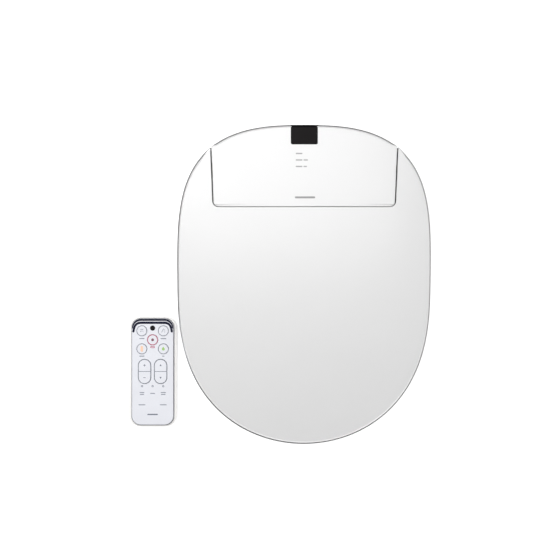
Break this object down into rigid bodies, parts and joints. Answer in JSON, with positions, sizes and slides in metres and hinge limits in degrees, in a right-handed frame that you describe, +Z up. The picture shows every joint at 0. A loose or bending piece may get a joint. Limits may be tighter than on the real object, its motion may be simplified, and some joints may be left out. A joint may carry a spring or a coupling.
{
  "type": "electric bidet seat",
  "caption": "Electric bidet toilet seat: sloping lid and heated ring on a coaxial hinge, rear body with wash nozzles and dryer, bowl bracket, wireless remote.",
  "frame": {"origin": "midway between the two bowl bolt holes, on the plane of the bowl's rim", "axes": "+Z up, +Y towards the rear of the toilet, -Y towards the sitter's knees, +X to the right seen from the front"},
  "size_m": [0.483, 0.504, 0.1512],
  "materials": {
    "gloss_white": "glossy",
    "warm_white": "semi-gloss",
    "black_gloss": "glossy",
    "indicator_grey": "satin",
    "remote_blue_white": "satin",
    "navy": "semi-gloss",
    "grey_plastic": "moulded",
    "dark_plastic": "moulded",
    "rubber_grey": "matte",
    "rubber_dark": "matte",
    "steel": "brushed",
    "brass": "machined",
    "board_green": "lacquered",
    "heater_foil": "foil",
    "battery": "satin",
    "print_grey": "printed",
    "print_pale": "printed",
    "print_navy": "printed",
    "print_magenta": "printed",
    "print_plum": "printed",
    "print_peach": "printed",
    "print_green": "printed"
  },
  "bodies": {
    "bracket": {"mount_plate": "grey_plastic", "bolt_inserts": "rubber_dark"},
    "housing": {"base_tray": "gloss_white", "front_cowl": "gloss_white", "top_cover": "gloss_white", "sensor_window": "black_gloss", "indicator_lenses": "indicator_grey", "rubber_feet": "rubber_dark", "hinge_bracket_left": "steel", "hinge_bracket_right": "steel", "hinge_pin_left": "steel", "hinge_pin_right": "steel", "damper_left": "dark_plastic", "damper_right": "dark_plastic", "water_tank": "warm_white", "tank_heater": "steel", "inlet_valve": "warm_white", "inlet_fitting": "brass", "pump": "dark_plastic", "hoses": "warm_white", "drain_plug": "grey_plastic", "blower_housing": "grey_plastic", "dryer_duct": "grey_plastic", "blower_motor": "steel", "nozzle_cradle": "grey_plastic", "nozzle_motors": "dark_plastic", "power_module": "dark_plastic", "control_board": "board_green", "cord_gland": "dark_plastic", "base_screws": "steel"},
    "rotor": {"blower_rotor": "dark_plastic"},
    "filter": {"deodor_filter": "grey_plastic"},
    "button": {"release_button": "grey_plastic"},
    "rear_nozzle": {"nozzle_rear": "warm_white", "nozzle_rear_tip": "warm_white"},
    "front_nozzle": {"nozzle_front": "warm_white", "nozzle_front_tip": "warm_white"},
    "seat": {"seat_top": "gloss_white", "seat_base": "warm_white", "seat_heater": "heater_foil", "seat_bumpers": "rubber_grey", "seat_arm_left": "warm_white", "seat_arm_right": "warm_white"},
    "lid": {"lid_shell": "gloss_white", "lid_hub_left": "warm_white", "lid_hub_right": "warm_white", "lid_bumpers": "rubber_grey"},
    "remote": {"remote_case": "warm_white", "remote_face": "remote_blue_white", "remote_band": "navy", "remote_board": "board_green", "batteries": "battery"},
    "remote_battery_cover": {"battery_cover": "warm_white"},
    "key_1": {"key_1": "remote_blue_white"},
    "key_2": {"key_2": "remote_blue_white"},
    "key_3": {"key_3": "remote_blue_white"},
    "key_4": {"key_4": "remote_blue_white"},
    "key_stop": {"key_stop": "remote_blue_white"},
    "rocker_left": {"rocker_left": "remote_blue_white"},
    "rocker_right": {"rocker_right": "remote_blue_white"}
  },
  "joints": [
    {"name": "bracket_slide", "type": "slide", "parent": "bracket", "child": "housing", "axis": [0, -1, 0], "range_m": [0, 0.06]},
    {"name": "seat_hinge", "type": "hinge", "parent": "housing", "child": "seat", "pos_m": [0, -0.0935, 0.1161], "axis": [1, 0, 0], "range_deg": [-95, 0]},
    {"name": "lid_hinge", "type": "hinge", "parent": "seat", "child": "lid", "pos_m": [0, -0.0935, 0.1161], "axis": [-1, 0, 0], "range_deg": [0, 105]},
    {"name": "rear_nozzle_slide", "type": "slide", "parent": "housing", "child": "rear_nozzle", "axis": [0, -0.9272, -0.3746], "range_m": [0, 0.085]},
    {"name": "front_nozzle_slide", "type": "slide", "parent": "housing", "child": "front_nozzle", "axis": [0, -0.9272, -0.3746], "range_m": [0, 0.085]},
    {"name": "rotor_spin", "type": "hinge", "parent": "housing", "child": "rotor", "pos_m": [-0.078, -0.026, 0.026], "axis": [0, 0, 1], "continuous": true},
    {"name": "filter_pull", "type": "slide", "parent": "housing", "child": "filter", "axis": [-1, 0, 0], "range_m": [0, 0.03]},
    {"name": "release_press", "type": "slide", "parent": "housing", "child": "button", "axis": [-1, 0, 0], "range_m": [0, 0.002], "stiffness_N_per_m": 400},
    {"name": "remote_lift", "type": "slide", "parent": "bracket", "child": "remote", "axis": [0, 0, 1], "range_m": [0, 0.2]},
    {"name": "battery_cover_slide", "type": "slide", "parent": "remote", "child": "remote_battery_cover", "axis": [0, -1, 0], "range_m": [0, 0.062]},
    {"name": "key_1_press", "type": "slide", "parent": "remote", "child": "key_1", "axis": [0, 0, -1], "range_m": [0, 0.001], "stiffness_N_per_m": 300},
    {"name": "key_2_press", "type": "slide", "parent": "remote", "child": "key_2", "axis": [0, 0, -1], "range_m": [0, 0.001], "stiffness_N_per_m": 300},
    {"name": "key_3_press", "type": "slide", "parent": "remote", "child": "key_3", "axis": [0, 0, -1], "range_m": [0, 0.001], "stiffness_N_per_m": 300},
    {"name": "key_4_press", "type": "slide", "parent": "remote", "child": "key_4", "axis": [0, 0, -1], "range_m": [0, 0.001], "stiffness_N_per_m": 300},
    {"name": "key_stop_press", "type": "slide", "parent": "remote", "child": "key_stop", "axis": [0, 0, -1], "range_m": [0, 0.001], "stiffness_N_per_m": 300},
    {"name": "rocker_left_tilt", "type": "hinge", "parent": "remote", "child": "rocker_left", "pos_m": [-0.257, -0.3394, 0.0185], "axis": [1, 0, 0], "range_deg": [-3, 3], "stiffness_Nm_per_rad": 0.3},
    {"name": "rocker_right_tilt", "type": "hinge", "parent": "remote", "child": "rocker_right", "pos_m": [-0.231, -0.3394, 0.0185], "axis": [1, 0, 0], "range_deg": [-3, 3], "stiffness_Nm_per_rad": 0.3}
  ]
}
